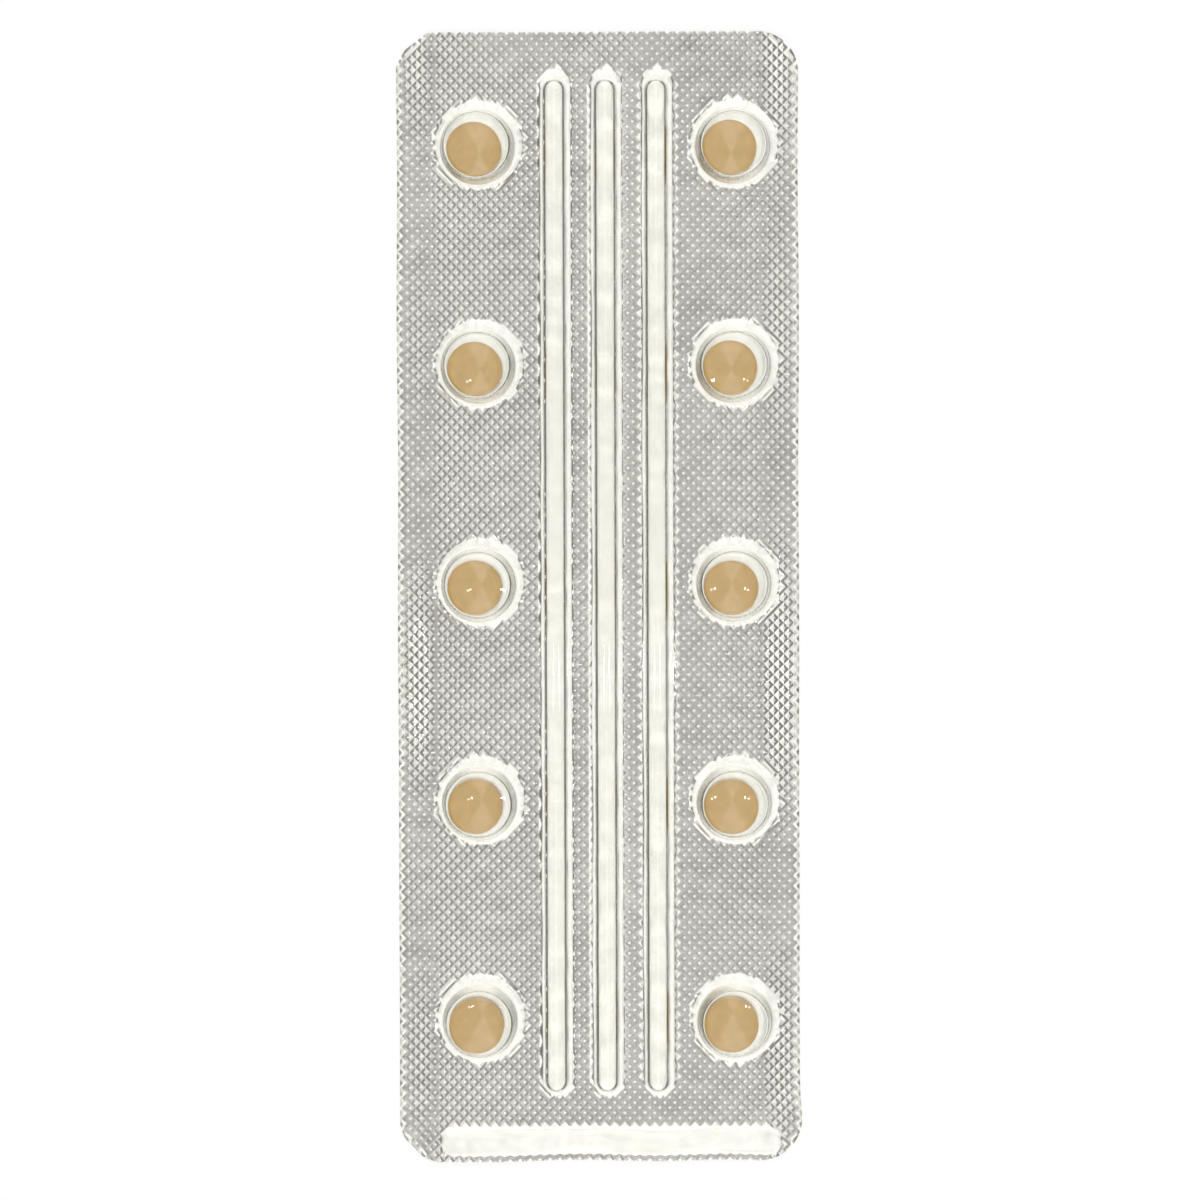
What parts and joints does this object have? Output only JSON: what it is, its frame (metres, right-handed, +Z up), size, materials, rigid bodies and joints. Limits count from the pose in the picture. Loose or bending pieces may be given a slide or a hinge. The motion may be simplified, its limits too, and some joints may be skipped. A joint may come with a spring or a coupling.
{
  "type": "pill blister pack",
  "caption": "Flat push-through blister pack: clear film with round cavities and long stiffening ribs, heat-sealed to aluminium foil, each cavity holding a round bevelled tablet.",
  "frame": {"origin": "middle of the footprint, on the underside of the lidding foil", "axes": "+X across the pack, +Y along it towards the end with the cut corner, +Z up out of the foil through the cavities"},
  "size_m": [0.044, 0.124, 0.0035],
  "materials": {
    "clear_film": "gloss",
    "foil": "satin",
    "tablet": "satin"
  },
  "bodies": {
    "root": {"blister_film": "clear_film", "lidding_foil": "foil", "tablet_1": "tablet", "tablet_2": "tablet", "tablet_3": "tablet", "tablet_4": "tablet", "tablet_5": "tablet", "tablet_6": "tablet", "tablet_7": "tablet", "tablet_8": "tablet", "tablet_9": "tablet", "tablet_10": "tablet"}
  },
  "joints": []
}
